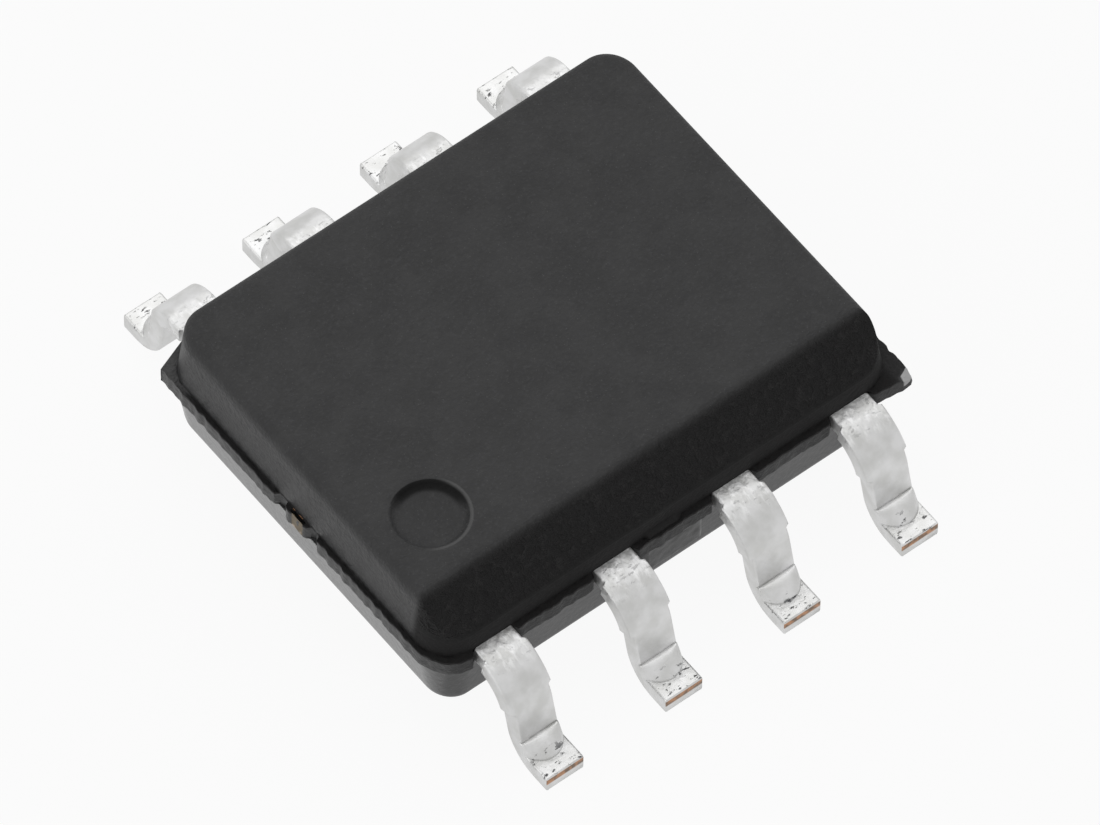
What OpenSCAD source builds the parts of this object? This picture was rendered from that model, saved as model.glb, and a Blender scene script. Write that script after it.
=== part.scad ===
// Small-outline package with eight gull-wing leads, in millimetres.
// +Z points away from the board and z = 0 is the plane that the feet stand on.
// X runs along the two rows of leads. Lead 1 is at -X, -Y, and the numbers go
// round anticlockwise as seen from above.

/* [Package body] */
// Length of the moulded body along the lead rows
body_l = 4.9; // [4.8:0.05:5.0]
// Width of the moulded body between the lead rows
body_w = 3.9; // [3.8:0.05:4.0]
// Height of the top face above the board
top_z = 1.58; // [1.5:0.01:1.7]
// Gap between the underside of the body and the board
standoff = 0.18; // [0.1:0.01:0.25]
// Slope of the mould walls from upright, in degrees
draft = 8; // [5:0.5:10]
// Plan radius of the upper half's corners where it meets the leads' plane
upper_corner_r = 0.36; // [0.28:0.01:0.45]
// Plan radius of the lower half's corners where it meets the leads' plane
lower_corner_r = 0.32; // [0.3:0.01:0.4]
// Radius of the edge round the top face
top_edge_r = 0.1; // [0.05:0.01:0.12]
// Radius of the edge round the underside
bottom_edge_r = 0.14; // [0.08:0.01:0.15]
// Height of the bevel along the side that holds lead 1
bevel = 0.38; // [0.25:0.01:0.42]

/* [Marks in the mould] */
// Diameter of the recess that marks lead 1
dot_d = 0.72; // [0.5:0.02:0.8]
// Depth of the recess that marks lead 1
dot_depth = 0.06; // [0.03:0.01:0.1]
// Distance of its centre from the end of the body
dot_from_end = 0.64; // [0.55:0.01:0.8]
// Distance of its centre from the side of the body
dot_from_side = 0.98; // [0.95:0.01:1.2]
// Diameter of the ejector mark in the underside
ejector_d = 1; // [0.6:0.1:1.4]
// Depth of the ejector mark
ejector_depth = 0.03; // [0.02:0.01:0.05]

/* [Parting line] */
// How far the flash between the leads stands out of the wall
flash = 0.06; // [0.03:0.01:0.08]
// How far the flash stands out past the end of the body that is away from lead 1
end_flash = 0.09; // [0.05:0.01:0.1]
// How ragged the broken edge of the flash is
flash_rough = 0.012; // [0.002:0.002:0.02]
// Width of the gate remnant between leads 2 and 3
gate_w = 0.62; // [0.4:0.02:0.7]
// Distance from lead 2 to the gate remnant
gate_from_lead = 0.14; // [0.04:0.01:0.16]
// Height of the gate remnant above the leads' plane
gate_rise = 0.06; // [0.02:0.01:0.1]
// Depth of the gate remnant below the leads' plane
gate_drop = 0.3; // [0.2:0.02:0.4]
// Width of each notch broken out beside the tie bar's end
notch_w = 0.2; // [0.1:0.02:0.3]
// Depth of each notch broken out beside the tie bar's end
notch_depth = 0.07; // [0.03:0.01:0.1]
// Width of the flash left standing between the tie bar and each notch
notch_from_tie = 0.03; // [0.02:0.01:0.08]
// How far back the tip of the flash past lead 4 has chipped
chip_in = 0.06; // [0.04:0.01:0.1]
// Tilt of the chipped facet from level, in degrees
chip_tilt = 38; // [25:1:50]
// Width of the nub of flash against the outer side of lead 8
nub_w = 0.07; // [0.04:0.01:0.1]
// How far that nub stands out of the wall
nub_out = 0.13; // [0.08:0.01:0.15]

/* [Leads] */
// Distance between the centres of neighbouring leads
pitch = 1.27; // [1.2:0.01:1.3]
// Width of a lead outside the body
lead_w = 0.4; // [0.33:0.01:0.45]
// Thickness of the lead frame
lead_t = 0.18; // [0.15:0.01:0.22]
// How far the toes reach past the sides of the body
lead_reach = 1; // [0.95:0.01:1.15]
// Height of the middle of the leads where they leave the body
lead_z = 0.9; // [0.85:0.01:0.95]
// Inside radius of the upper bend of a lead
bend_r = 0.18; // [0.12:0.01:0.2]
// Lean of the shanks of leads 1 to 4 from upright, in degrees
front_lean = 13; // [4:1:14]
// Lean of the shanks of leads 5 to 8 from upright, in degrees
back_lean = 7; // [4:1:14]
// Length of a foot from the toe to the corner under the shank
foot_l = 0.33; // [0.3:0.01:0.36]
// Outside radius of the heel between a shank and its foot
heel_r = 0.4; // [0.34:0.01:0.42]
// Rise of the half-moon ramp that the forming tool leaves behind a foot
ramp_h = 0.11; // [0.06:0.01:0.12]
// Length of that ramp along the foot
ramp_l = 0.18; // [0.14:0.01:0.2]
// Radius of the ramp's curved edge
ramp_r = 0.205; // [0.205:0.005:0.25]
// Height of the step at the ramp's curved edge
ramp_step = 0.012; // [0.006:0.002:0.02]
// How far the sheared dam bar stands out on each side of a lead
dam_out = 0.03; // [0.02:0.01:0.06]
// Distance from the body to the start of the dam bar
dam_from_body = 0.16; // [0.12:0.01:0.18]
// How far round the upper bend the dam bar reaches, in degrees
dam_turn = 66; // [40:2:74]

/* [Leads inside the resin] */
// How far the leads run into the resin before they widen
neck_l = 0.2; // [0.14:0.01:0.24]
// Length of each taper between two widths of a lead
taper_l = 0.1; // [0.06:0.01:0.1]
// Width of the middle leads where they lock into the resin
anchor_w = 0.68; // [0.5:0.02:0.8]
// Length of that wide stretch
anchor_l = 0.2; // [0.1:0.02:0.22]
// Width of the middle leads' inner tips
tip_w = 0.48; // [0.4:0.02:0.56]
// Distance of the middle leads' tips from the centre line
middle_tip_y = 1.15; // [1.1:0.01:1.2]
// Distance of the corner leads' tips from the centre line
corner_tip_y = 0.54; // [0.4:0.02:0.7]
// Width of the corner leads inside the resin
corner_in_w = 0.58; // [0.46:0.02:0.62]
// Diameter of the hole that locks a corner lead in the resin
lock_d = 0.22; // [0.16:0.02:0.26]
// Distance of that hole's centre from the side of the body
lock_in = 0.52; // [0.48:0.02:0.8]
// Clipped corners at the corner leads' inner tips
tip_clip = 0.08; // [0.04:0.01:0.1]

/* [Die pad and tie bars] */
// Length of the die pad along the lead rows
pad_l = 2.7; // [2.2:0.1:2.8]
// Width of the die pad across the part
pad_w = 1.9; // [1.6:0.1:2.0]
// Depth of the die pad below the leads
downset = 0.2; // [0.19:0.01:0.24]
// Width of a tie bar
tie_w = 0.18; // [0.14:0.01:0.24]
// Run of a tie bar's sloping stretch
tie_slope_l = 0.3; // [0.24:0.01:0.4]

/* [Die] */
// Length of the die
die_l = 1.5; // [1.1:0.1:1.8]
// Width of the die
die_w = 1.2; // [0.9:0.1:1.4]
// Thickness of the die
die_t = 0.25; // [0.2:0.01:0.28]
// Thickness of the glue under the die
glue_t = 0.03; // [0.02:0.005:0.04]
// How far the glue squeezes out past each edge of the die
glue_out = 0.06; // [0.02:0.01:0.1]

/* [Bond wires] */
// Diameter of a bond wire
wire_d = 0.03; // [0.02:0.002:0.04]
// Diameter of the ball at the die's end of a wire
ball_d = 0.075; // [0.06:0.005:0.09]
// Height of a ball
ball_h = 0.018; // [0.012:0.002:0.024]
// Height of the loop above the die
loop_h = 0.16; // [0.1:0.01:0.18]
// Share of a wire's run at which its loop starts to fall
loop_fall = 0.4; // [0.3:0.05:0.6]
// Distance of the bonds from the edge of the die
bond_inset = 0.12; // [0.08:0.01:0.16]
// Distance of the middle leads' bonds from the middle of the die's long side
middle_bond_x = 0.25; // [0.15:0.01:0.35]
// Distance of the corner leads' bonds from the middle of the die's short side
corner_bond_y = 0.3; // [0.15:0.01:0.32]
// Distance of the bonds from the tips of the leads
stitch_inset = 0.12; // [0.08:0.01:0.16]

/* [Hidden] */

RESIN = [0.13, 0.13, 0.135];
TIN = [0.72, 0.72, 0.7];
COPPER = [0.72, 0.45, 0.28];
GLUE = [0.62, 0.62, 0.6];
SILICON = [0.32, 0.33, 0.4];
GOLD = [0.86, 0.68, 0.3];

half_l = body_l / 2;
half_w = body_w / 2;
lead_top = lead_z + lead_t / 2;
lead_bottom = lead_z - lead_t / 2;
leads_a_side = 4;
row_half = (leads_a_side - 1) / 2 * pitch;
outer_bend_r = bend_r + lead_t;
// Height of the upper bend's centre
bend_z = lead_top - outer_bend_r;
foot_end = half_w + lead_reach;
// The knee is the inside corner between a shank's outer face and its foot
knee_y = foot_end - foot_l;
pad_top = lead_top - downset;
glue_top = pad_top + glue_t;
die_top = glue_top + die_t;
tie_end = half_l + end_flash;
// Length by which a cutter runs past the face it cuts
past = 0.5;
wire_sides = 8;

// ---- Shared shapes ----

// Rounded to a grid of 0.00001 mm, so that faces worked out in different places meet exactly
function on_grid(v) = round(v * 100000) / 100000;

// Half of an upright section through a drafted wall: the wall starts at
// (half, z0), leans inwards and turns into the flat face at z1 with radius r
module wall_section(half, z0, z1, r) {
    rise = abs(z1 - z0);
    up = sign(z1 - z0);
    arc_x = half - on_grid((rise - r) * tan(draft) + r / cos(draft));
    arc_z = z1 - up * r;
    polygon([
        [0, z0],
        [half, z0],
        [arc_x + on_grid(r * cos(draft)), arc_z + up * on_grid(r * sin(draft))],
        [arc_x, z1],
        [0, z1],
    ]);
    translate([arc_x, arc_z]) circle(r = r, $fn = 64);
}

module full_section(half, z0, z1, r) {
    intersection() {
        union() {
            wall_section(half, z0, z1, r);
            mirror([1, 0]) wall_section(half, z0, z1, r);
        }
        translate([-half - past, min(z0, z1)]) square([2 * (half + past), abs(z1 - z0)]);
    }
}

// Section drawn in X and Y is stood up and run along X
module along_x(length) {
    rotate([90, 0, 90]) translate([0, 0, -length / 2]) linear_extrude(length) children();
}

module along_y(length) {
    rotate([90, 0, 0]) translate([0, 0, -length / 2]) linear_extrude(length) children();
}

// One half of the moulding: drafted walls, cone-shaped corners, rounded edge
module mould_half(z0, z1, corner_r, edge_r) {
    flat_l = 2 * (half_l - corner_r);
    flat_w = 2 * (half_w - corner_r);
    along_x(flat_l) full_section(half_w, z0, z1, edge_r);
    along_y(flat_w) full_section(half_l, z0, z1, edge_r);
    for (quarter = [0 : 3]) {
        sx = quarter == 0 || quarter == 3 ? 1 : -1;
        sy = quarter < 2 ? 1 : -1;
        translate([sx * flat_l / 2, sy * flat_w / 2, 0])
            rotate([0, 0, 90 * quarter])
                rotate_extrude(angle = 90, $fn = 64)
                    intersection() {
                        wall_section(corner_r, z0, z1, edge_r);
                        translate([0, min(z0, z1)]) square([corner_r + past, abs(z1 - z0)]);
                    }
    }
}

// ---- Moulded body ----

module bevel_cut() {
    foot_z = top_z - bevel;
    foot_y = -half_w + (foot_z - lead_top) * tan(draft);
    along_x(body_l + 2 * past)
        polygon([
            [foot_y - past, foot_z - past],
            [foot_y + bevel + past, top_z + past],
            [foot_y - past, top_z + past],
        ]);
}

// Points along a broken edge from a to b, each pushed in or out a little
function ragged(a, b, count, seed) =
    let (step = (b - a) / count, out = [step[1], -step[0]] / norm(step))
    let (push = rands(-1, 1, count, seed))
    [for (i = [0 : count - 1]) a + step * i + out * (i == 0 ? 0 : flash_rough * push[i])];

// Plan of the flash in the leads' plane, anticlockwise from the corner by lead 1
function flash_plan() =
    let (r = lower_corner_r, side = half_w + flash, left = half_l + flash / 2)
    let (c = [-left + r, -half_w + r])
    concat(
        [for (a = [180 : 15 : 270]) c + r * [cos(a), sin(a)]],
        ragged([-row_half - lead_w / 2, -side], [tie_end, -side - flash / 3], 14, 11),
        ragged([tie_end, -side - flash / 3], [tie_end, half_w - r], 12, 23),
        [for (a = [0 : 15 : 90]) [half_l - r, side - r] + r * [cos(a), sin(a)]],
        ragged([half_l - r, side], [-half_l + flash, side], 14, 31),
        ragged([-half_l - flash / 2, half_w - flash], [-left, -half_w + r], 14, 47)
    );

module flash_band() {
    translate([0, 0, lead_bottom]) linear_extrude(lead_t) polygon(flash_plan());
}

// Stump of resin where the mould was filled, broken off between leads 2 and 3
module gate_remnant() {
    left = -pitch / 2 + lead_w / 2 + gate_from_lead;
    top = lead_top + gate_rise;
    foot = lead_bottom - gate_drop;
    intersection() {
        along_y(body_w + 4 * flash)
            polygon([
                [left, foot],
                [left + gate_w, foot],
                [left + gate_w, lead_bottom],
                [left + gate_w / 2, top - gate_rise / 3],
                [left, top],
            ]);
        along_x(body_l)
            polygon([
                [0, foot],
                [-half_w - flash + (top - foot) * tan(draft), foot],
                [-half_w - flash, top],
                [0, top],
            ]);
    }
}

// Pieces of flash that broke out on either side of the tie bar's end
module tie_bar_notches() {
    for (sy = [-1, 1])
        translate([-half_l - past, sy * (tie_w / 2 + notch_from_tie + notch_w / 2), lead_z])
            cube([2 * (past + notch_depth), notch_w, 2 * lead_t], center = true);
}

// The tip of the flash past lead 4 has chipped to a facet that faces up and out
module chipped_corner() {
    translate([tie_end - chip_in, -half_w - flash, lead_top])
        rotate([0, chip_tilt, -45])
            translate([0, -past, 0]) cube([2 * past, 2 * past, past]);
}

// Stray piece of flash against the outer side of lead 8
module flash_nub() {
    translate([-row_half - lead_w / 2 - nub_w, half_w - lead_t, lead_bottom])
        cube([nub_w, lead_t + nub_out, lead_t]);
}

module moulding() {
    difference() {
        union() {
            difference() {
                mould_half(lead_top, top_z, upper_corner_r, top_edge_r);
                bevel_cut();
            }
            mould_half(lead_bottom, standoff, lower_corner_r, bottom_edge_r);
            difference() {
                flash_band();
                tie_bar_notches();
                chipped_corner();
            }
            gate_remnant();
            flash_nub();
        }
        translate([-half_l + dot_from_end, -half_w + dot_from_side, top_z - dot_depth])
            cylinder(d = dot_d, h = dot_depth + past, $fn = 96);
        translate([0, 0, standoff - past])
            cylinder(d = ejector_d, h = ejector_depth + past, $fn = 96);
    }
}

module package_body() {
    color(RESIN) difference() {
        moulding();
        for (n = [1 : 2 * leads_a_side]) {
            lead(n);
            bond_wire(n);
        }
        die_pad_shape();
        die_attach_shape();
        die_shape();
    }
}

// ---- Leads ----

// Lead n's own axis, seen as if it were in the near row
module in_row(n) {
    rotate([0, 0, n > leads_a_side ? 180 : 0])
        translate([-row_half + pitch * ((n - 1) % leads_a_side), 0, 0])
            children();
}

function lean_of(n) = n > leads_a_side ? back_lean : front_lean;

// Distance from the centre line to the upper bend's centre
function bend_y(lean) =
    knee_y - (bend_z - lead_t) * tan(lean) - outer_bend_r / cos(lean);

// Distance from the centre line to the heel's centre
function heel_y(lean) =
    knee_y + lead_t * tan(lean) + (heel_r * (1 - sin(lean)) - lead_t) / cos(lean);

// Wedge about a bend's centre, between two directions and out to a reach
module wedge(from, to, reach) {
    polygon([[0, 0], reach * from, reach * (from + to), reach * to]);
}

// Side view of the gull wing outside the body, with the body to the left
module gull_section(lean) {
    across = [cos(lean), sin(lean)];
    bend = [bend_y(lean), bend_z];
    face_y = function(z) knee_y - (z - lead_t) * tan(lean);
    back = lead_t / cos(lean);
    difference() {
        polygon([
            [half_w - lead_t, lead_bottom],
            [face_y(lead_bottom) - back, lead_bottom],
            [face_y(0) - back, 0],
            [foot_end, 0],
            [foot_end, lead_t],
            [knee_y, lead_t],
            [face_y(lead_top), lead_top],
            [half_w - lead_t, lead_top],
        ]);
        translate(bend) difference() {
            wedge([0, 1], across, 2 * outer_bend_r);
            circle(r = outer_bend_r, $fn = 64);
        }
        translate([heel_y(lean), heel_r]) difference() {
            wedge([0, -1], -across, 2 * heel_r);
            circle(r = heel_r, $fn = 96);
        }
    }
    translate(bend) difference() {
        wedge([0, 1], across, bend_r + lead_t / 4);
        circle(r = bend_r, $fn = 64);
    }
}

// Stretch of the side view that the dam bar joined to its neighbours
module dam_section(lean) {
    reach = 3 * outer_bend_r;
    start = half_w + dam_from_body;
    intersection() {
        gull_section(lean);
        polygon([
            [start, bend_z + (start - bend_y(lean)) / tan(dam_turn)],
            [bend_y(lean), bend_z] + reach * [sin(dam_turn), cos(dam_turn)],
            [start, bend_z + reach],
        ]);
    }
}

// A side view is stood up in the near row and given a width
module side_run(width) {
    rotate([90, 0, -90]) translate([0, 0, -width / 2]) linear_extrude(width) children();
}

// Half-moon ramp between the shank and the foot
module foot_ramp(lean) {
    top = [knee_y - ramp_h * tan(lean), lead_t + ramp_h];
    intersection() {
        side_run(lead_w)
            polygon([
                [knee_y, lead_t / 2],
                [knee_y + ramp_l, lead_t / 2],
                [knee_y + ramp_l, lead_t + ramp_step],
                top,
                top - [lead_t / 4, 0],
            ]);
        translate([0, ramp_r - ramp_l - knee_y, 0]) cylinder(r = ramp_r, h = top_z, $fn = 64);
    }
}

// Plan of a middle lead inside the resin
module middle_plan() {
    wide = anchor_w / 2;
    slim = tip_w / 2;
    out = lead_w / 2;
    neck = neck_l - half_w;
    anchor = neck + taper_l;
    for (sx = [-1, 1])
        scale([sx, 1])
            polygon([
                [0, -half_w - lead_t],
                [out, -half_w - lead_t],
                [out, neck],
                [wide, anchor],
                [wide, anchor + anchor_l],
                [slim, anchor + anchor_l + taper_l],
                [slim, -middle_tip_y],
                [0, -middle_tip_y],
            ]);
}

// Plan of a corner lead inside the resin, with its locking hole
module corner_plan() {
    out = lead_w / 2;
    wide = corner_in_w / 2;
    neck = neck_l - half_w;
    difference() {
        polygon([
            [-out, -half_w - lead_t],
            [out, -half_w - lead_t],
            [out, neck],
            [wide, neck + taper_l],
            [wide, -corner_tip_y - tip_clip],
            [wide - tip_clip, -corner_tip_y],
            [-wide + tip_clip, -corner_tip_y],
            [-wide, -corner_tip_y - tip_clip],
            [-wide, neck + taper_l],
            [-out, neck],
        ]);
        translate([0, lock_in - half_w]) circle(d = lock_d, $fn = 48);
    }
}

module lead(n) {
    lean = lean_of(n);
    corner = (n - 1) % leads_a_side == 0 || n % leads_a_side == 0;
    in_row(n) {
        side_run(lead_w) gull_section(lean);
        side_run(lead_w + 2 * dam_out) dam_section(lean);
        foot_ramp(lean);
        translate([0, 0, lead_bottom]) linear_extrude(lead_t) {
            if (corner) corner_plan();
            else middle_plan();
        }
    }
}

module lead_1() color(TIN) lead(1);
module lead_2() color(TIN) lead(2);
module lead_3() color(TIN) lead(3);
module lead_4() color(TIN) lead(4);
module lead_5() color(TIN) lead(5);
module lead_6() color(TIN) lead(6);
module lead_7() color(TIN) lead(7);
module lead_8() color(TIN) lead(8);

// ---- Die pad with its two tie bars ----

module die_pad_shape() {
    foot_x = pad_l / 2 + lead_t / 2;
    slope_x = foot_x + tie_slope_l;
    translate([-pad_l / 2, -pad_w / 2, pad_top - lead_t]) cube([pad_l, pad_w, lead_t]);
    for (sx = [-1, 1])
        scale([sx, 1, 1])
            along_y(tie_w)
                polygon([
                    [pad_l / 2 - lead_t, pad_top - lead_t],
                    [foot_x, pad_top - lead_t],
                    [slope_x, lead_bottom],
                    [tie_end, lead_bottom],
                    [tie_end, lead_top],
                    [slope_x, lead_top],
                    [foot_x, pad_top],
                    [pad_l / 2 - lead_t, pad_top],
                ]);
}

module die_pad() color(COPPER) die_pad_shape();

// ---- Die and its glue ----

module die_attach_shape() {
    size = [die_l + 2 * glue_out, die_w + 2 * glue_out, glue_t];
    translate([-size[0] / 2, -size[1] / 2, pad_top]) cube(size);
}

module die_shape() {
    translate([-die_l / 2, -die_w / 2, glue_top]) cube([die_l, die_w, die_t]);
}

module die_attach() color(GLUE) die_attach_shape();
module die() color(SILICON) die_shape();

// ---- Bond wires ----

// Point on the cubic curve with control points p, at t from 0 to 1
function cubic(p, t) =
    pow(1 - t, 3) * p[0] + 3 * t * pow(1 - t, 2) * p[1] + 3 * t * t * (1 - t) * p[2] + pow(t, 3) * p[3];

function slope(p, t) =
    3 * pow(1 - t, 2) * (p[1] - p[0]) + 6 * t * (1 - t) * (p[2] - p[1]) + 3 * t * t * (p[3] - p[2]);

// One ring of the wire about point c, facing along the unit vector f in the
// wire's own upright plane; s is level and across the wire
function ring(c, f, s, r) =
    let (up = cross(s, f))
    [for (i = [0 : wire_sides - 1])
        c + r * (cos(360 * i / wire_sides) * s + sin(360 * i / wire_sides) * up)];

function wire_rings(a, b) =
    let (level = [b[0] - a[0], b[1] - a[1], 0], run = norm(level), d = level / run)
    let (s = [-d[1], d[0], 0], z = [0, 0, 1], neck = a + z * (ball_h + wire_d / 2))
    let (land = b + z * wire_d / 2 - d * wire_d)
    let (p = [neck, neck + z * loop_h * 1.5, neck + d * run * loop_fall + z * loop_h, land])
    concat(
        [ring(a, z, s, ball_d / 2), ring(a + z * ball_h, z, s, ball_d / 2)],
        [for (t = [0 : 0.1 : 1]) ring(cubic(p, t), slope(p, t) / norm(slope(p, t)), s, wire_d / 2)],
        [ring(b, -z, s, wire_d * 0.8)]
    );

module swept(rings) {
    sides = len(rings[0]);
    last = (len(rings) - 1) * sides;
    points = [for (r = rings) each r];
    walls = [for (k = [0 : len(rings) - 2]) for (i = [0 : sides - 1])
        let (j = (i + 1) % sides, low = k * sides, high = low + sides)
        each [[low + i, high + i, high + j], [low + i, high + j, low + j]]];
    ends = [[for (i = [0 : sides - 1]) i], [for (i = [sides - 1 : -1 : 0]) last + i]];
    polyhedron(points, concat(walls, ends));
}

// Where a wire leaves the die and where it lands, for lead n's place in its row
module bond_wire(n) {
    place = (n - 1) % leads_a_side;
    corner = place == 0 || place == leads_a_side - 1;
    hand = place < leads_a_side / 2 ? -1 : 1;
    from_x = hand * (corner ? die_l / 2 - bond_inset : middle_bond_x);
    from_y = corner ? -corner_bond_y : -die_w / 2 + bond_inset;
    lead_x = -row_half + pitch * place;
    to_x = corner ? lead_x - hand * (corner_in_w / 2 - stitch_inset) : lead_x;
    to_y = -(corner ? corner_tip_y : middle_tip_y) - stitch_inset;
    rotate([0, 0, n > leads_a_side ? 180 : 0])
        swept(wire_rings([from_x, from_y, die_top], [to_x, to_y, lead_top]));
}

module bond_wire_1() color(GOLD) bond_wire(1);
module bond_wire_2() color(GOLD) bond_wire(2);
module bond_wire_3() color(GOLD) bond_wire(3);
module bond_wire_4() color(GOLD) bond_wire(4);
module bond_wire_5() color(GOLD) bond_wire(5);
module bond_wire_6() color(GOLD) bond_wire(6);
module bond_wire_7() color(GOLD) bond_wire(7);
module bond_wire_8() color(GOLD) bond_wire(8);

package_body();
lead_1();
lead_2();
lead_3();
lead_4();
lead_5();
lead_6();
lead_7();
lead_8();
die_pad();
die_attach();
die();
bond_wire_1();
bond_wire_2();
bond_wire_3();
bond_wire_4();
bond_wire_5();
bond_wire_6();
bond_wire_7();
bond_wire_8();
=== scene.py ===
import math

import bmesh
import bpy
import numpy as np
from mathutils import Matrix, Vector, noise
from mathutils.geometry import delaunay_2d_cdt


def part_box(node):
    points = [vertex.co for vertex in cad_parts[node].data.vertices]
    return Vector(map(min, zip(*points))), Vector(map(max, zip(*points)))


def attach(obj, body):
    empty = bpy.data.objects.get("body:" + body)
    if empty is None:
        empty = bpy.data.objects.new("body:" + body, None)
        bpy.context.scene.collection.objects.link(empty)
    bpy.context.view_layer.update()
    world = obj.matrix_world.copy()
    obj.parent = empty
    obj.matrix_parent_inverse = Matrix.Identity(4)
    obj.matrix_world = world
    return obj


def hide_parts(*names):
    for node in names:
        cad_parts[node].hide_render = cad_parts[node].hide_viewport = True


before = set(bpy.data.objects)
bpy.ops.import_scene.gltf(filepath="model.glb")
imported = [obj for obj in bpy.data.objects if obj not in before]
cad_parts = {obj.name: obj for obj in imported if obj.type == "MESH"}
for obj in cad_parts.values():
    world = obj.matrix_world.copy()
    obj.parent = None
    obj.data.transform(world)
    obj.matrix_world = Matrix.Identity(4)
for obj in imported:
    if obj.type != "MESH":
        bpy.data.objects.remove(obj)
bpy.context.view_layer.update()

# ---------------------------------------------------------------------------------------------
# Leads
# Eight gull wings stamped from one copper alloy strip, plated with tin after the resin is
# moulded round them, then cut from the frame and formed. The dam bar that joined them leaves a
# sheared stub on each side, and the forming tool leaves a half-moon ramp behind each toe.
# ---------------------------------------------------------------------------------------------

MM = 0.001
strip = 0.18
lead_half = 0.2
edge_round = 0.022
side_of_body = 1.95
foot = 0.33
heel_r = 0.4
front_bend = (2.06, 0.59)
back_bend = (2.202, 0.674)
crease_z = 0.29
ramp_reach = 0.18
ramp_r = 0.205
ramp_step = 0.012
groove = 0.012
stub_start = 2.11
stub_out = 0.03
front_lean = math.radians(13)
back_lean = math.radians(7)
stub_ends = (70, 59)
toe_round = 0.012
shoulder_end = 2.35
shoulder_rough = 0.004
shank_rough = 0.0015
toe_copper = (0.5, 0.29, 0.18, 1)


def add_mesh(name, verts, faces, sharp):
    """A smooth-shaded piece from vertices in millimetres; edges sharper than the angle stay crisp."""
    mesh = bpy.data.meshes.new(name)
    mesh.from_pydata([Vector(v) * MM for v in verts], [], faces)
    work = bmesh.new()
    work.from_mesh(mesh)
    bmesh.ops.recalc_face_normals(work, faces=work.faces)
    work.to_mesh(mesh)
    work.free()
    mesh.polygons.foreach_set("use_smooth", [True] * len(mesh.polygons))
    mesh.set_sharp_from_angle(angle=math.radians(sharp))
    piece = bpy.data.objects.new(name, mesh)
    bpy.context.scene.collection.objects.link(piece)
    return piece


def loft(rings, close_ends=True):
    """Vertices and faces of a skin over closed rings that all have the same number of points."""
    count = len(rings[0])
    verts = [p for ring in rings for p in ring]
    faces = []
    for low in range(0, (len(rings) - 1) * count, count):
        for i in range(count):
            j = (i + 1) % count
            faces.append((low + i, low + j, low + count + j, low + count + i))
    if close_ends:
        faces.append(tuple(range(count)))
        faces.append(tuple(range(len(verts) - count, len(verts))))
    return verts, faces


def wobble(point, size, seed):
    """Smooth noise from -1 to 1 at a point in millimetres, with bumps about one size apart."""
    return noise.noise(Vector(point) / size + Vector((seed, 0, 0)))


def curve(p, count):
    """Points and unit normals along a cubic curve with four control points (y, z)."""
    found = []
    for t in np.linspace(0, 1, count):
        u = 1 - t
        at = u ** 3 * p[0] + 3 * t * u * u * p[1] + 3 * t * t * u * p[2] + t ** 3 * p[3]
        run = u * u * (p[1] - p[0]) + 2 * t * u * (p[2] - p[1]) + t * t * (p[3] - p[2])
        run /= np.linalg.norm(run)
        found.append((at, np.array([-run[1], run[0]])))
    return found


def lead_stations(lean, bend, toe, top, plan, turns):
    """Cuts along a lead: a function of x for its outer face, a point of its inner face, two half widths."""
    knee = toe - foot
    bend_start, bend_end_z = bend
    out = np.array([math.cos(lean), math.sin(lean)])

    def shank(z):
        return np.array([knee - (z - strip) * math.tan(lean), z])

    def plain(point):
        return lambda x: point

    cuts = []
    flat = sorted({y for y, _ in plan} | set(np.arange(side_of_body - 0.06, bend_start, 0.02)))
    for y in flat:
        width = np.interp(y, [p[0] for p in plan], [p[1] for p in plan])
        cuts.append((plain(np.array([y, top])), np.array([y, top - strip]), width, width, 0))
    corner = shank(top)
    start, end = np.array([bend_start, top]), shank(bend_end_z)
    roundness = 0.55
    handles = [start, start + roundness * (corner - start), end + roundness * (corner - end), end]
    for at, normal in curve(handles, 34):
        turned = math.degrees(math.atan2(normal[0], normal[1]))
        cuts.append((plain(at), at - strip * normal, lead_half, lead_half, turned))
    for z in np.linspace(bend_end_z, crease_z + 0.09, 12)[1:]:
        cuts.append((plain(shank(z)), shank(z) - strip * out, lead_half, lead_half, 90))

    heel_y = knee + strip * math.tan(lean) + (heel_r * (1 - math.sin(lean)) - strip) / math.cos(lean)
    heel = np.array([heel_y, heel_r])
    crease = shank(crease_z)
    last_flat = knee + ramp_reach + 0.04

    def arc_y(x):
        return knee + ramp_reach - ramp_r + math.sqrt(max(ramp_r ** 2 - x * x, 0))

    def ramp(share):
        def outer(x):
            start_y = crease[0] + 0.012
            y = start_y + share * (arc_y(x) - start_y)
            rise = (crease_z - strip - ramp_step) * (1 - share ** 1.6)
            return np.array([y, strip + ramp_step + rise])
        return outer

    def beyond(share):
        def outer(x):
            from_y = arc_y(x) + 0.005
            return np.array([from_y + share * (last_flat - from_y), strip - 0.004 * (1 - share)])
        return outer

    outers = [plain(shank(crease_z + above)) for above in (0.06, 0.03, 0.012)]
    outers += [plain(crease - groove * out), ramp(0)]
    outers += [ramp(s) for s in np.linspace(0.08, 1, 13)]
    outers += [beyond(s) for s in np.linspace(0, 1, 8)]
    for k, outer in enumerate(outers):
        a = lean + (math.pi / 2 - lean) * (k + 1) / len(outers)
        inner = heel + heel_r * np.array([-math.cos(a), -math.sin(a)])
        cuts.append((outer, inner, lead_half, lead_half, 90))
    for share in np.linspace(0, 1, 9)[1:]:
        y = last_flat + share * (toe - toe_round - last_flat)
        inner_y = heel[0] + share * (toe - toe_round - heel[0])
        cuts.append((plain(np.array([y, strip])), np.array([inner_y, 0]), lead_half, lead_half, 90))

    shaped = []
    for outer, inner, left, right, turned in cuts:
        y = outer(0)[0]
        if y > stub_start and turned < turns[0]:
            left += stub_out
        if y > stub_start and turned < turns[1]:
            right += stub_out
        shaped.append((outer, inner, left, right))
    return shaped


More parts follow.
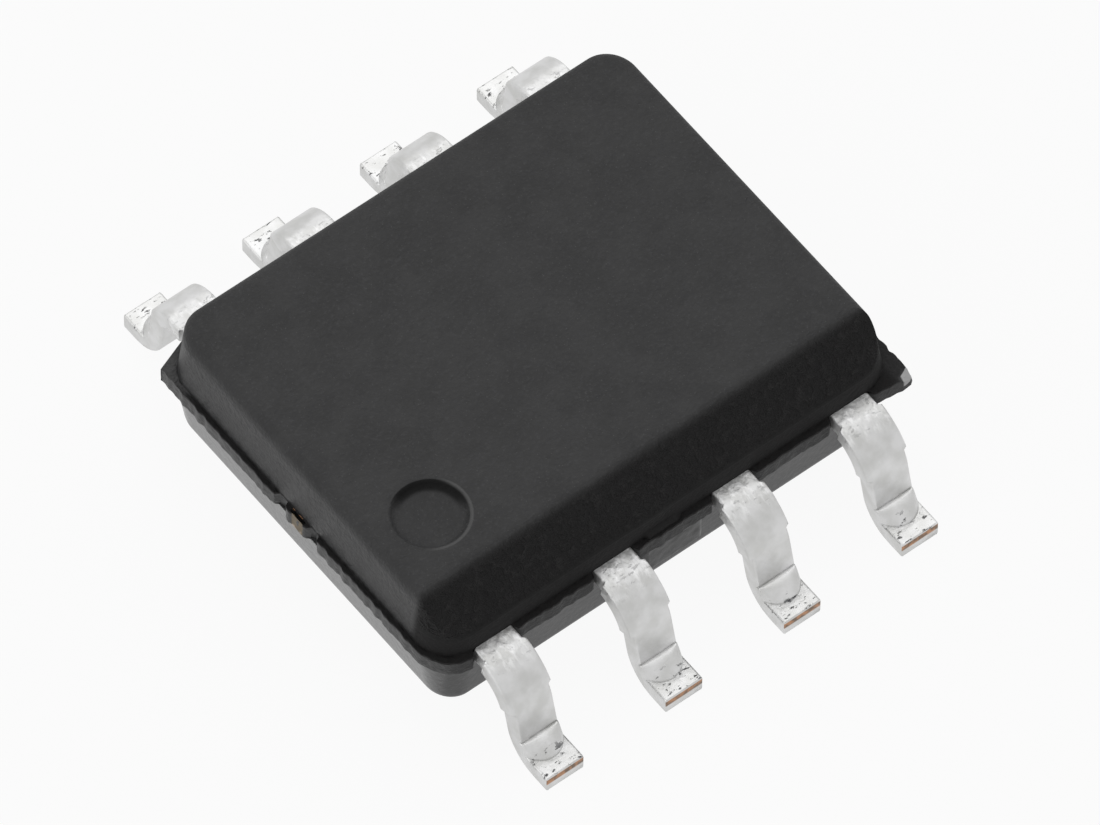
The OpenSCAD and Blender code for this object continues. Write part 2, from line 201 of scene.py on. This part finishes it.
def section(outer, inner, left, right, inset=0.0):
    """One closed ring of a lead, round-edged, from its outer face to its inner face."""
    across = np.linspace(-left + edge_round, right - edge_round, 23)
    thick = np.linalg.norm(outer(0) - inner)
    soft = edge_round / thick
    ring = [(x, 1 - inset / thick) for x in across]
    for a in (30, 60, 90):
        s, c = math.sin(math.radians(a)), math.cos(math.radians(a))
        ring.append((right - edge_round * (1 - s) - inset, 1 - soft * (1 - c)))
    ring += [(right - inset, h) for h in np.linspace(1 - soft, soft, 6)[1:-1]]
    for a in (90, 60, 30):
        s, c = math.sin(math.radians(a)), math.cos(math.radians(a))
        ring.append((right - edge_round * (1 - s) - inset, soft * (1 - c)))
    ring += [(x, inset / thick) for x in np.linspace(right - edge_round, -left + edge_round, 9)]
    for a in (30, 60, 90):
        s, c = math.sin(math.radians(a)), math.cos(math.radians(a))
        ring.append((-left + edge_round * (1 - s) + inset, soft * (1 - c)))
    ring += [(-left + inset, h) for h in np.linspace(soft, 1 - soft, 6)[1:-1]]
    for a in (90, 60, 30):
        s, c = math.sin(math.radians(a)), math.cos(math.radians(a))
        ring.append((-left + edge_round * (1 - s) + inset, 1 - soft * (1 - c)))
    points = []
    for x, h in ring:
        y, z = inner + h * (outer(x) - inner)
        points.append((x, y, z))
    return points


class Paint:
    """A shader socket. Sums and products of it add Math nodes, and node() adds any other node."""

    def __init__(self, tree, socket=None):
        self.tree = tree
        self.socket = socket

    def node(self, kind, settings=None, inputs=None, out=0):
        made = self.tree.nodes.new("ShaderNode" + kind)
        for name, value in (settings or {}).items():
            if name == "stops":
                ramp = made.color_ramp.elements
                ramp[0].position, ramp[-1].position = value[0][0], value[-1][0]
                for place, _ in value[1:-1]:
                    ramp.new(place)
                for element, (_, shade) in zip(ramp, value):
                    element.color = (shade, shade, shade, 1) if isinstance(shade, (int, float)) else shade
            else:
                setattr(made, name, value)
        for name, value in (inputs or {}).items():
            if isinstance(value, Paint):
                self.tree.links.new(value.socket, made.inputs[name])
            else:
                made.inputs[name].default_value = value
        return Paint(self.tree, made.outputs[out])

    def maths(self, operation, *values):
        return self.node("Math", {"operation": operation}, dict(enumerate(values)))

    def __add__(self, other):
        return self.maths("ADD", self, other)

    __radd__ = __add__

    def __sub__(self, other):
        return self.maths("SUBTRACT", self, other)

    def __rsub__(self, other):
        return self.maths("SUBTRACT", other, self)

    def __mul__(self, other):
        return self.maths("MULTIPLY", self, other)

    __rmul__ = __mul__

    def __abs__(self):
        return self.maths("ABSOLUTE", self)

    def rises(self, low, high):
        """0 below low, 1 above high and smooth between; swapped limits make it fall."""
        return self.node("MapRange", {"interpolation_type": "SMOOTHSTEP"},
                         {"Value": self, "From Min": low, "From Max": high})

    def mix(self, under, over):
        """Colour over where this mask is 1, and under where it is 0."""
        return self.node("Mix", {"data_type": "RGBA"}, {0: self, 6: under, 7: over}, 2)

    def grain(self, size, detail=2, seed=0.0, rough=0.5):
        """Noise from 0 to 1 over a place in millimetres, with features about one size across."""
        shifted = self.node("VectorMath", {"operation": "ADD"}, {0: self, 1: (seed, seed * 0.7, seed * 1.3)})
        return self.node("TexNoise", None, {"Vector": shifted, "Scale": 1 / size, "Detail": detail,
                                            "Roughness": rough})

    def spots(self, size, seed=0.0):
        """Distance to the nearest of scattered points, about one size apart."""
        shifted = self.node("VectorMath", {"operation": "ADD"}, {0: self, 1: (seed, seed, seed)})
        return self.node("TexVoronoi", None, {"Vector": shifted, "Scale": 1 / size})

    def bump(self, height, depth, over=None):
        """A normal from a height of 0 to 1 that stands for this depth in millimetres."""
        inputs = {"Height": height, "Distance": depth * MM, "Strength": 1.0}
        if over is not None:
            inputs["Normal"] = over
        return self.node("Bump", None, inputs)


def start_material(name):
    """An empty material, its tree, and the place on the piece in millimetres with its x, y and z."""
    material = bpy.data.materials.new(name)
    material.use_nodes = True
    tree = material.node_tree
    tree.nodes.clear()
    brush = Paint(tree)
    metres = brush.node("TexCoord", out="Object")
    place = brush.node("VectorMath", {"operation": "SCALE"}, {0: metres, "Scale": 1 / MM})
    axes = [brush.node("SeparateXYZ", None, {0: place}, out=i) for i in range(3)]
    return material, brush, place, axes


def finish_material(brush, shader):
    output = brush.tree.nodes.new("ShaderNodeOutputMaterial")
    brush.tree.links.new(shader.socket, output.inputs["Surface"])


def tin_plating():
    material, brush, place, (x, y, z) = start_material("tin_plating")
    out = abs(y)
    stretched = brush.node("VectorMath", {"operation": "MULTIPLY"}, {0: place, 1: (1.0, 0.45, 0.45)})
    shoulder = out.rises(2.36, 2.2) * z.rises(0.8, 0.86)
    toe = out.rises(2.66, 2.8) * z.rises(0.14, 0.17)
    toe_face = out.rises(2.944, 2.948)
    fine = place.grain(0.03, 3)
    cloudy = place.grain(0.16, 3, 5.0)
    wrinkle = stretched.grain(0.05, 4, 9.0, 0.6)
    scored = brush.node("VectorMath", {"operation": "MULTIPLY"}, {0: place, 1: (0.7, 1.6, 1.0)})
    worn = place.grain(0.11, 2, 14.0).rises(0.38, 0.5)
    scars = scored.grain(0.06, 4, 3.0, 0.65).rises(0.58, 0.65) * worn
    pits = scars * (toe + 0.25 * shoulder)
    smear = place.grain(0.06, 3, 21.0).rises(0.4, 0.6)
    strip_mask = toe_face * z.rises(0.085, 0.105) * z.rises(0.168, 0.158)
    colour = cloudy.rises(0.3, 0.75).mix((0.6, 0.6, 0.59, 1), (0.72, 0.72, 0.72, 1))
    colour = (shoulder * wrinkle.rises(0.45, 0.7)).mix(colour, (0.82, 0.82, 0.82, 1))
    colour = pits.mix(colour, (0.1, 0.1, 0.105, 1))
    raw_metal = smear.mix((0.24, 0.18, 0.14, 1), toe_copper)
    colour = strip_mask.mix(colour, raw_metal)
    rough = 0.34 + 0.1 * cloudy + 0.1 * shoulder + 0.2 * strip_mask
    normal = brush.bump(fine, 0.0012)
    normal = brush.bump(wrinkle * (shoulder + 0.35 * toe), 0.012, normal)
    normal = brush.bump(1 - pits, 0.008, normal)
    shader = brush.node("BsdfPrincipled", None, {"Base Color": colour, "Metallic": 1.0, "Roughness": rough,
                                                 "Normal": normal})
    finish_material(brush, shader)
    return material


tinned = tin_plating()
middle_plan = [(1.15, 0.24), (1.35, 0.24), (1.45, 0.34), (1.65, 0.34), (1.75, 0.2), (2.06, 0.2)]
corner_plan = [(0.54, 0.21), (0.62, 0.29), (1.65, 0.29), (1.75, 0.2), (2.06, 0.2)]
for number in range(1, 9):
    node = f"lead_{number}"
    low, high = (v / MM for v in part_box(node))
    front = low.y < 0
    toe = max(-low.y, high.y)
    centre = (low.x + high.x) / 2
    plan = corner_plan if number in (1, 4, 5, 8) else middle_plan
    lean, bend = (front_lean, front_bend) if front else (back_lean, back_bend)
    cuts = lead_stations(lean, bend, toe, high.z, plan, stub_ends)
    rings = [section(*cut) for cut in cuts]
    outer, inner, left, right = cuts[-1]
    step_out = np.array([0.008, 0])
    end_out = np.array([toe_round, 0])
    rings.append(section(lambda x: outer(x) + step_out, inner + step_out, left, right, 0.003))
    rings.append(section(lambda x: outer(x) + end_out, inner + end_out, left, right, 0.01))
    verts, faces = loft(rings)
    moved = []
    side = 1 if front else -1
    for x, y, z in verts:
        rough = shoulder_rough if y < shoulder_end else shank_rough
        if y < side_of_body or z < 0.02 or y > toe - 0.003:
            rough = 0
        push = rough * wobble((x, y, z), 0.07, number * 3.1)
        moved.append((centre + side * x, -side * y, z + push))
    piece = add_mesh(f"tinned_{node}", moved, faces, 45)
    piece.data.materials.append(tinned)
    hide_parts(node)
    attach(piece, "root")

# ---------------------------------------------------------------------------------------------
# Die pad, die, glue and bond wires
# The chip's inside, sealed in the resin: only the cut ends of the pad's two tie bars come to
# the surface. The pad is the same strip as the leads, the die is sawn silicon held by a
# silver-filled glue, and the wires are drawn gold.
# ---------------------------------------------------------------------------------------------


def bare_copper():
    material, brush, place, (x, y, z) = start_material("bare_copper")
    drawn = brush.node("VectorMath", {"operation": "MULTIPLY"}, {0: place, 1: (0.15, 1.0, 1.0)})
    lines = drawn.grain(0.02, 3)
    tarnish = place.grain(0.12, 3, 4.0).rises(0.35, 0.65)
    cut_end = abs(x).rises(2.47, 2.485)
    burr = cut_end * z.rises(0.86, 0.82) * place.grain(0.04, 2, 8.0).rises(0.45, 0.6)
    colour = tarnish.mix((0.5, 0.27, 0.15, 1), (0.32, 0.17, 0.1, 1))
    colour = cut_end.mix(colour, (0.13, 0.1, 0.06, 1))
    colour = burr.mix(colour, (0.5, 0.42, 0.35, 1))
    normal = brush.bump(lines, 0.002)
    shader = brush.node("BsdfPrincipled", None, {"Base Color": colour, "Metallic": 0.9, "Normal": normal,
                                                 "Roughness": 0.38 + 0.15 * tarnish})
    finish_material(brush, shader)
    return material


def silver_glue():
    material, brush, place, axes = start_material("silver_glue")
    flakes = place.spots(0.015).rises(0.5, 0.2)
    colour = flakes.mix((0.35, 0.34, 0.32, 1), (0.7, 0.69, 0.66, 1))
    shader = brush.node("BsdfPrincipled", None, {"Base Color": colour, "Roughness": 0.5 - 0.15 * flakes,
                                                 "Metallic": 0.6, "Normal": brush.bump(flakes, 0.003)})
    finish_material(brush, shader)
    return material


def sawn_silicon():
    material, brush, place, (x, y, z) = start_material("sawn_silicon")
    top = z.rises(1.066, 1.069)
    blocks = brush.node("TexBrick", {"offset": 0.5}, {"Vector": place, "Scale": 9.0, "Mortar Size": 0.03})
    saw = place.grain(0.012, 2).rises(0.3, 0.7)
    etched = blocks.mix((0.1, 0.12, 0.2, 1), (0.24, 0.2, 0.26, 1))
    colour = top.mix((0.2, 0.2, 0.21, 1), etched)
    shader = brush.node("BsdfPrincipled", None, {"Base Color": colour, "Roughness": 0.45 - 0.25 * top,
                                                 "Metallic": 0.5, "Normal": brush.bump(saw, 0.001)})
    finish_material(brush, shader)
    return material


def drawn_gold():
    material, brush, place, axes = start_material("drawn_gold")
    worn = place.grain(0.03, 3).rises(0.3, 0.7)
    colour = worn.mix((0.95, 0.66, 0.25, 1), (0.8, 0.5, 0.16, 1))
    shader = brush.node("BsdfPrincipled", None, {"Base Color": colour, "Metallic": 1.0,
                                                 "Roughness": 0.2 + 0.12 * worn,
                                                 "Normal": brush.bump(worn, 0.0006)})
    finish_material(brush, shader)
    return material


def dress(node, material):
    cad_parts[node].data.materials.clear()
    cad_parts[node].data.materials.append(material)


# The tie bar is cut a hair short of the end wall's flash, so the pad is made again with it shorter.
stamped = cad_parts["die_pad"].data
cut_off = -2.49
corners = [v.co / MM for v in stamped.vertices]
pad = add_mesh("stamped_die_pad", [(max(c.x, cut_off), c.y, c.z) for c in corners],
               [tuple(p.vertices) for p in stamped.polygons], 30)
pad.data.materials.append(bare_copper())
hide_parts("die_pad")
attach(pad, "root")
dress("die_attach", silver_glue())
dress("die", sawn_silicon())
gold = drawn_gold()
for number in range(1, 9):
    dress(f"bond_wire_{number}", gold)

# ---------------------------------------------------------------------------------------------
# Moulded body
# Black filled epoxy pressed round the frame in a two-part mould. The walls lean back from the
# parting plane, where thin flash broke off ragged between the leads. A bevel and a round
# recess mark lead 1, and the mould's spark-eroded walls leave a grain, coarse on the bevel.
# ---------------------------------------------------------------------------------------------

low, high = (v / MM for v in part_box("package_body"))
body_top = high.z
body_foot = low.z
half_l = 2.45
half_w = side_of_body
end_draft = math.radians(8)
side_draft = math.radians(5)
parting_top = 0.99
parting_foot = parting_top - strip
upper_corner = 0.36
lower_corner = 0.32
top_round = 0.1
foot_round = 0.14
bevel = 0.38
wall_under_bevel = 0.21
right_flash = high.x
left_flash = half_l + 0.04
flash_lean = 0.18
lead_rows = [1.27 * k for k in (-1.5, -0.5, 0.5, 1.5)]
side_flash = half_w + 0.06
nub_at = -2.17
dot = Vector((-1.8, -0.955))
dot_r = 0.355
dot_depth = 0.06
ejector_r = 0.5
ejector_depth = 0.03
gate_left = -0.295
gate_right = 0.325
gate_foot = 0.45
gate_top = 1.045
gate_slope = 0.75
mound_at = (-0.18, 1.27)
notches = (0.23, -0.2)
chip_slope = 0.47
chip_line = 3.13
chip_depth = 1.2


def outline_samples():
    """Round the body from its left end: a point of the inner rectangle as -1 to 1, and the way out."""
    samples = []
    sides = [((-1, -1), (1, -1), 150, 270), ((1, -1), (1, 1), 110, 0),
             ((1, 1), (-1, 1), 130, 90), ((-1, 1), (-1, -1), 120, 180)]
    for (x0, y0), (x1, y1), count, facing in sides:
        way = (math.cos(math.radians(facing)), math.sin(math.radians(facing)))
        for t in np.linspace(0, 1, count):
            samples.append(((x0 + t * (x1 - x0), y0 + t * (y1 - y0)), way))
        for a in np.linspace(facing, facing + 90, 22)[1:-1]:
            way = (math.cos(math.radians(a)), math.sin(math.radians(a)))
            samples.append(((x1, y1), way))
    return samples


samples = outline_samples()


def lean_back(height, rise, r, draft):
    """How far a drafted wall with a round top edge has gone in at a height above the parting plane."""
    angle = math.asin(max(-1.0, 1 - (rise - height) / r))
    if angle <= draft:
        return height * math.tan(draft)
    return (rise - r) * math.tan(draft) + r / math.cos(draft) - r * math.cos(angle)


def body_rings(start, rise, corner, r, way):
    """Outlines of one half of the body, from the parting plane up or down over its round edge."""
    straight = rise - r * (1 - math.sin(side_draft))
    turn = [rise - r * (1 - math.sin(a)) for a in np.linspace(end_draft, math.pi / 2, 10)[1:]]
    found = []
    for height in [*np.linspace(0, straight, 26), *turn]:
        reach_x = corner - lean_back(height, rise, r, end_draft)
        reach_y = corner - lean_back(height, rise, r, side_draft)
        found.append([((half_l - corner) * bx + reach_x * dx, (half_w - corner) * by + reach_y * dy,
                       start + way * height) for (bx, by), (dx, dy) in samples])
    return found


def lead_gap(x):
    """0 at a lead's place along the row, and 1 from just past its edge."""
    return min(1.0, max(0.0, (min(abs(x - row) for row in lead_rows) - lead_half) / 0.04))


def bevel_limit(z):
    """How far the bevelled side reaches at a height, with its top edge eased."""
    reach = half_w - wall_under_bevel * math.tan(side_draft) + (body_top - bevel - z)
    ease = max(0.0, 1 - (body_top - z) / 0.12)
    return reach - 0.045 * ease ** 2


def bevelled(ring):
    """The ring with its front cut back to the bevel, and the soft mound over the gate."""
    cut = []
    for x, y, z in ring:
        limit = -bevel_limit(z)
        soft = 0.012
        gap = y - limit
        y = limit + 0.5 * (gap + math.sqrt(gap * gap + soft * soft))
        mound = math.exp(-((x - mound_at[0]) / 0.2) ** 2 - ((z - mound_at[1]) / 0.09) ** 2)
        if y < -1.4:
            y -= 0.03 * mound
        cut.append((x, y, z))
    return cut


def flash_ring(z):
    """The ragged edge of the flash: it stops at the leads and has sharp corners by leads 4 and 8."""
    flat_l, flat_w = half_l - lower_corner, half_w - lower_corner
    ring = []
    for (bx, by), (dx, dy) in samples:
        sharp = 1 / max(abs(dx), abs(dy)) if (bx > 0) != (by > 0) and abs(bx) == abs(by) == 1 else 1
        far_x = right_flash - flash_lean * (z - parting_foot) if dx > 0 else left_flash
        x = flat_l * bx + (far_x - flat_l) * dx * sharp
        y = flat_w * by + (side_flash - flat_w) * dy * sharp
        rough = 0.016 * wobble((x, y, 0), 0.07, 7.7) + 0.004 * wobble((x, y, z), 0.05, 2.9)
        if x < -half_l + 0.1:
            for notch in notches:
                rough -= 0.06 * max(0.0, 1 - (abs(y - notch) / 0.08) ** 6)
        if dx > 0.9 or (bx > 0 and by < 0):
            rough = min(rough, 0.004)
        x, y = x + dx * rough, y + dy * rough
        if bx > 0 and by < 0:
            y -= 0.03 * min(1.0, max(0.0, (x - 2.2) / 0.2))
        if y > 0:
            y = min(y + 0.05 * math.exp(-((x - nub_at) / 0.03) ** 2), 2.0 + 0.38 * (x + 2.2))
        if abs(dy) > 0.99:
            y -= dy * (side_flash - half_w + 0.02) * (1 - lead_gap(x))
        ring.append((x, y, z))
    return ring


def chip_corner(point):
    """Lowers a point of the flash's tip to the facet where it chipped."""
    x, y, z = point
    past = chip_slope * x - y - chip_line
    if x < 2.4 or past < 0 or z < 0.86:
        return point
    return (x, y, min(z, parting_top + 0.004 - chip_depth * past))


def gate_stump(point):
    """Pushes the wall out to the stump of the gate, whose top slopes down to the right."""
    x, y, z = point
    if y > -1.6:
        return point
    top = gate_top if x < 0.03 else gate_top - gate_slope * (x - 0.03)
    across = min((x - gate_left) / 0.015, (gate_right - x) / 0.03)
    inside = min(across, (z - gate_foot) / 0.05, (top - z) / 0.02)
    if inside <= 0:
        return point
    face = -side_flash + 0.02 + 0.006 * wobble(point, 0.08, 3.0)
    return (x, min(y, y + min(inside, 1.0) * (face - y)), z)


rings = body_rings(parting_foot, parting_foot - body_foot, lower_corner, foot_round, -1)[::-1]
rings += [flash_ring(z) for z in (0.814, 0.825, 0.85, 0.875, 0.9, 0.925, 0.95, 0.97, 0.984)]
upper = body_rings(parting_top, body_top - parting_top, upper_corner, top_round, 1)
for share in (0.0, 0.12, 0.35, 0.6, 0.85):
    rings.append([tuple(np.array(a) + share * (np.array(b) - np.array(a)))
                  for a, b in zip(flash_ring(parting_top), upper[0])])
for k, ring in enumerate(upper):
    ragged = max(0.0, 0.016 - 0.005 * k)
    rings.append(bevelled([(x, y, z + ragged * lead_gap(x) * wobble((x, y, 0), 0.05, 2.2))
                           for x, y, z in ring]))
rings = [[gate_stump(chip_corner(p)) for p in ring] for ring in rings]
verts, faces = loft(rings, close_ends=False)
count = len(samples)


def close_face(rim_start, centre, radius, depth, up, spacing):
    """Fills the top or foot of the body, with a round recess that has an eased rim."""
    rim = [Vector(verts[rim_start + i]) for i in range(count)]
    z = rim[0].z
    around = 96
    circle = [centre + radius * Vector((math.cos(a), math.sin(a)))
              for a in np.linspace(0, 2 * math.pi, around, endpoint=False)]
    flat = [v.xy for v in rim] + circle
    edges = [(i, (i + 1) % count) for i in range(count)]
    edges += [(count + i, count + (i + 1) % around) for i in range(around)]
    min_x, max_x = min(v.x for v in rim) + spacing, max(v.x for v in rim) - spacing
    min_y, max_y = min(v.y for v in rim) + spacing, max(v.y for v in rim) - spacing
    for gx in np.arange(min_x, max_x, spacing):
        for gy in np.arange(min_y, max_y, spacing):
            p = Vector((gx + 0.2 * spacing * wobble((gx, gy, 1), 0.1, 5), gy))
            corner_gap = (max(abs(p.x - (min_x + max_x) / 2) - (max_x - min_x) / 2 + 0.2, 0)
                          + max(abs(p.y - (min_y + max_y) / 2) - (max_y - min_y) / 2 + 0.2, 0))
            if corner_gap < 0.28 and (p - centre).length > radius + 0.4 * spacing:
                flat.append(p)
    points, _, tris, origin, _, _ = delaunay_2d_cdt(flat, edges, [], 1, 1e-6)
    index = {}
    for i, found in enumerate(origin):
        if found and found[0] < count:
            index[i] = rim_start + found[0]
        else:
            index[i] = len(verts)
            verts.append((points[i].x, points[i].y, z))
    ring_of = {found[0] - count: index[i] for i, found in enumerate(origin)
               if found and count <= found[0] < count + around}
    for tri in tris:
        middle = sum((points[i] for i in tri), Vector((0, 0))) / len(tri)
        if (middle - centre).length > radius - 1e-4:
            faces.append(tuple(index[i] for i in tri))
    sink = -1 if up else 1
    profile = [(0.01, 0.06), (0.022, 0.25), (0.036, 0.6), (0.052, 0.88), (0.075, 1.0), (0.13, 1.0),
               (0.22, 1.0)]
    previous = [ring_of[i] for i in range(around)]
    for inward, share in profile:
        current = []
        for i in range(around):
            a = 2 * math.pi * i / around
            r = radius - inward
            current.append(len(verts))
            verts.append((centre.x + r * math.cos(a), centre.y + r * math.sin(a), z + sink * depth * share))
        for i in range(around):
            j = (i + 1) % around
            faces.append((previous[i], previous[j], current[j], current[i]))
        previous = current
    faces.append(tuple(previous))


close_face(len(rings) * count - count, dot, dot_r, dot_depth, True, 0.07)
close_face(0, Vector((0, 0)), ejector_r, ejector_depth, False, 0.2)


def moulding_resin():
    material, brush, place, (x, y, z) = start_material("moulding_resin")
    # Front side, bevel and upper wall: painted shade for the side that faces away from the light.
    front = y.rises(-1.5, -1.6) * z.rises(0.97, 1.0)
    coarse = y.rises(-1.51, -1.62) * z.rises(1.17, 1.24)
    end_wall = x.rises(-2.3, -2.38) * z.rises(1.5, 1.4)
    lower_half = z.rises(0.8, 0.77)
    past_chip = chip_slope * x - y - chip_line
    chip = past_chip.rises(0.002, 0.008) * x.rises(2.42, 2.44) * z.rises(0.87, 0.89)
    from_dot = brush.node("VectorMath", {"operation": "DISTANCE"},
                          {0: place, 1: (dot.x, dot.y, body_top)}, 1)
    dot_wall = from_dot.rises(0.25, 0.3) * from_dot.rises(0.37, 0.35)
    # The far wall of the round recess, where the painted shade goes.
    dot_painted_shade = dot_wall * (0.61 * x + 0.79 * y).rises(-1.82, -1.64) * z.rises(1.5795, 1.575)
    # The near rim of the round recess, where the painted highlight goes.
    rim = from_dot.rises(0.33, 0.345) * from_dot.rises(0.375, 0.36) * (x - y).rises(-0.85, -0.6)
    ragged = place.grain(0.05, 2, 3.0)
    ledge = z.rises(0.955, 0.975) * (z + 0.06 * ragged).rises(1.06, 1.03)
    # The ledge along the parting line and the wall just above it: partly the rough broken flash, partly
    # painted shade in the step.
    broken_flash_and_shade = ledge * (y.rises(-1.85, -1.9) + x.rises(-2.3, -2.36) * y.rises(1.7, 1.4)) * x.rises(2.4, 2.3)
    fine = place.grain(0.028, 3, 0.0, 0.6)
    medium = place.grain(0.06, 2, 6.0)
    lumps = place.grain(0.08, 3, 11.0, 0.65)
    cloud = place.grain(0.35, 3, 17.0)
    filler = place.spots(0.05, 8.0).rises(0.14, 0.05)
    colour = cloud.rises(0.35, 0.65).mix((0.015, 0.015, 0.0155, 1), (0.024, 0.024, 0.0245, 1))
    colour = (0.6 * fine.rises(0.5, 0.75)).mix(colour, (0.045, 0.045, 0.047, 1))
    colour = (0.5 * filler).mix(colour, (0.1, 0.1, 0.1, 1))
    # Painted shade: the front side's bevel and upper wall are painted darker because they face away from the
    # light.
    colour = (0.8 * front).mix(colour, (0.012, 0.0115, 0.0115, 1))
    colour = (0.7 * coarse * lumps.rises(0.5, 0.7)).mix(colour, (0.035, 0.034, 0.034, 1))
    # Painted shade: the parting ledge is painted near black, darker than the rough broken flash would be
    # alone.
    colour = (0.85 * broken_flash_and_shade).mix(colour, (0.006, 0.0055, 0.0055, 1))
    # Painted shade: a near-black crescent on the far wall of the round recess.
    colour = dot_painted_shade.mix(colour, (0.003, 0.003, 0.003, 1))
    # Painted highlight: the near rim of the round recess is painted lighter, as if its eased edge caught the
    # light.
    colour = (0.7 * rim).mix(colour, (0.1, 0.1, 0.1, 1))
    colour = chip.mix(colour, (0.62, 0.62, 0.62, 1))
    moulded = 1 - 0.8 * lower_half
    normal = brush.bump(fine * moulded, 0.009)
    normal = brush.bump(medium * moulded, 0.013, normal)
    normal = brush.bump(lumps * coarse, 0.24, normal)
    rough = 0.6 + 0.1 * medium - 0.26 * lower_half - 0.2 * end_wall
    # Two copies of the resin: a satin one, and a duller, less reflective one that darkens the places of
    # painted shade.
    satin = brush.node("BsdfPrincipled", None, {"Base Color": colour, "Roughness": rough, "Normal": normal})
    dull_and_shaded = brush.node("BsdfPrincipled", None, {"Base Color": colour, "Roughness": 0.85 - 0.05 * medium,
                                               "Specular IOR Level": 0.3, "Normal": normal})
    # The places of painted shade take the duller copy.
    shaded_share = front + dot_painted_shade + broken_flash_and_shade
    shader = brush.node("MixShader", None, {0: shaded_share.maths("MINIMUM", shaded_share, 1.0), 1: satin, 2: dull_and_shaded})
    finish_material(brush, shader)
    return material


body = add_mesh("moulded_body", verts, faces, 50)
body.data.materials.append(moulding_resin())
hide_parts("package_body")
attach(body, "root")

# ---------------------------------------------------------------------------------------------
# Floor, light and camera
# A pale table that shows white and keeps a faint shadow, two soft panels over it, and a long
# lens that looks down on the bevelled side.
# ---------------------------------------------------------------------------------------------


def pale_table():
    material, brush, place, axes = start_material("pale_table")
    paths = brush.node("LightPath", out="Is Camera Ray")
    glossy = brush.node("LightPath", out="Is Glossy Ray")
    seen = brush.node("LightPath", out="Is Transmission Ray") + glossy
    paper = brush.node("BsdfDiffuse", None, {"Color": (0.8, 0.8, 0.8, 1)})
    glow = brush.node("Emission", None, {"Color": (1, 1, 1, 1), "Strength": 1.0})
    share = 0.93 * paths + 0.9 * seen
    finish_material(brush, brush.node("MixShader", None, {0: share.maths("MINIMUM", share, 1.0),
                                                          1: paper, 2: glow}))
    return material


def sheet_mesh(name, size, z):
    half = size / 2 / MM
    return add_mesh(name, [(-half, -half, z), (half, -half, z), (half, half, z), (-half, half, z)],
                    [(0, 1, 2, 3)], 30)


floor = sheet_mesh("table", 0.5, 0.0)
floor.data.materials.append(pale_table())

world = bpy.data.worlds.new("studio")
world.use_nodes = True
sky = Paint(world.node_tree)
world.node_tree.nodes.clear()
seen = sky.node("LightPath", out="Is Camera Ray")
shown = sky.node("LightPath", out="Is Glossy Ray")
plain = sky.node("Background", None, {"Color": (1, 1, 1, 1), "Strength": 0.4})
bright = sky.node("Background", None, {"Color": (1, 1, 1, 1), "Strength": 0.85})
plain = sky.node("MixShader", None, {0: shown, 1: plain, 2: bright})
white = sky.node("Background", None, {"Color": (1, 1, 1, 1), "Strength": 1.0})
mixed = sky.node("MixShader", None, {0: seen, 1: plain, 2: white})
output = world.node_tree.nodes.new("ShaderNodeOutputWorld")
world.node_tree.links.new(mixed.socket, output.inputs["Surface"])
bpy.context.scene.world = world


def soft_panel(name, toward, distance, size, power):
    """A square lamp in a direction from the object, turned to face it."""
    lamp = bpy.data.lights.new(name, "AREA")
    lamp.size = size
    lamp.energy = power
    panel = bpy.data.objects.new(name, lamp)
    way = Vector(toward).normalized()
    panel.location = way * distance
    panel.rotation_mode = "QUATERNION"
    panel.rotation_quaternion = way.to_track_quat("Z", "Y")
    panel.visible_camera = False
    bpy.context.scene.collection.objects.link(panel)


soft_panel("over_light", (0.3, 0.45, 0.85), 0.3, 0.3, 0.21)
soft_panel("left_light", (-0.9, 0.15, 0.5), 0.3, 0.25, 0.15)

view_azimuth = math.radians(-38.073)
view_elevation = math.radians(57.155)
view_roll = math.radians(0.321)
aim = Vector((-0.0696, -0.3714, 0.79)) * MM
camera = bpy.data.cameras.new("camera")
camera.sensor_width = 36
camera.lens = 590.5
camera.clip_start = 0.005
camera.clip_end = 10
eye = bpy.data.objects.new("camera", camera)
back = Vector((math.sin(view_azimuth) * math.cos(view_elevation),
               -math.cos(view_azimuth) * math.cos(view_elevation), math.sin(view_elevation)))
eye.location = aim + back * 152.893 * MM
eye.rotation_mode = "QUATERNION"
level = (-back).to_track_quat("-Z", "Y")
eye.rotation_quaternion = level @ Matrix.Rotation(view_roll, 3, "Z").to_quaternion()
bpy.context.scene.collection.objects.link(eye)
bpy.context.scene.camera = eye
bpy.context.scene.view_settings.view_transform = "Standard"
